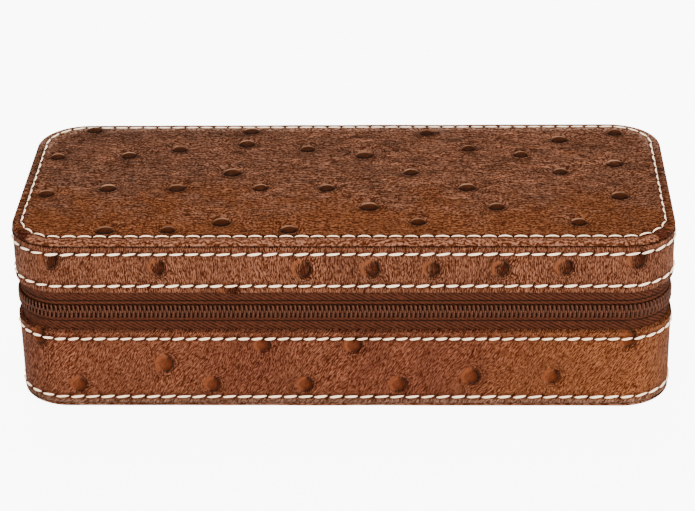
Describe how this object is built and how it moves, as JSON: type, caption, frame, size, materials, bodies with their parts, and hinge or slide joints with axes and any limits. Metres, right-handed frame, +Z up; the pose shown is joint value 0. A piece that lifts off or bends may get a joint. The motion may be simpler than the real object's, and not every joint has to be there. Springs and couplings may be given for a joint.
{
  "type": "zip-around watch travel case",
  "caption": "Rigid zip-around travel case in stitched leather, with suede-lined cells and lift-out cushions that hold wristwatches.",
  "frame": {"origin": "centre of the underside, on the surface that the case stands on", "axes": "+X along the length, +Y from the front to the leather spine, +Z up"},
  "size_m": [0.2584, 0.107, 0.073],
  "materials": {
    "top_leather": "burnished, quill-embossed",
    "band_leather": "waxed, quill-embossed",
    "bottom_leather": "waxed, quill-embossed",
    "fibre_board": "raw board",
    "foam": "open foam",
    "suede": "brushed suede",
    "cushion_suede": "brushed suede over foam",
    "zip_tape": "woven twill",
    "zip_coil": "satin nylon",
    "zip_metal": "antique brass plating"
  },
  "bodies": {
    "base": {"base_bottom_leather": "bottom_leather", "base_side_leather": "band_leather", "base_floor_board": "fibre_board", "base_wall_core": "fibre_board", "base_collar": "fibre_board", "base_wall_lining": "suede", "base_floor_lining": "suede", "divider_1": "suede", "divider_2": "suede", "divider_3": "suede", "base_zip_tape": "zip_tape", "base_zip_coil": "zip_coil", "base_zip_top_stop": "zip_metal", "zip_bottom_stop": "zip_metal", "spine_leather": "band_leather", "spine_lining": "suede"},
    "lid": {"lid_top_leather": "top_leather", "lid_side_leather": "band_leather", "lid_top_foam": "foam", "lid_top_board": "fibre_board", "lid_wall_core": "fibre_board", "lid_wall_lining": "suede", "lid_lining_pad": "suede", "lid_zip_tape": "zip_tape", "lid_zip_coil": "zip_coil", "lid_zip_top_stop": "zip_metal"},
    "zip_slider": {"zip_slider": "zip_metal"},
    "zip_pull": {"zip_pull": "zip_metal"},
    "watch_cushion_1": {"watch_cushion_1": "cushion_suede"},
    "watch_cushion_2": {"watch_cushion_2": "cushion_suede"},
    "watch_cushion_3": {"watch_cushion_3": "cushion_suede"},
    "watch_cushion_4": {"watch_cushion_4": "cushion_suede"}
  },
  "joints": [
    {"name": "lid_hinge", "type": "hinge", "parent": "base", "child": "lid", "pos_m": [0, 0.054, 0.0426], "axis": [-1, 0, 0], "range_deg": [0, 180]},
    {"name": "zip_travel", "type": "slide", "parent": "base", "child": "zip_slider", "axis": [0, -1, 0], "range_m": [0, 0.048], "deforming": ["base_zip_coil", "lid_zip_coil"]},
    {"name": "pull_swing", "type": "hinge", "parent": "zip_slider", "child": "zip_pull", "pos_m": [0.12945, 0.0225, 0.0426], "axis": [0, 0, 1], "range_deg": [0, 180]},
    {"name": "cushion_1_lift", "type": "slide", "parent": "base", "child": "watch_cushion_1", "axis": [0, 0, 1], "range_m": [0, 0.012]},
    {"name": "cushion_2_lift", "type": "slide", "parent": "base", "child": "watch_cushion_2", "axis": [0, 0, 1], "range_m": [0, 0.012]},
    {"name": "cushion_3_lift", "type": "slide", "parent": "base", "child": "watch_cushion_3", "axis": [0, 0, 1], "range_m": [0, 0.012]},
    {"name": "cushion_4_lift", "type": "slide", "parent": "base", "child": "watch_cushion_4", "axis": [0, 0, 1], "range_m": [0, 0.012]}
  ]
}
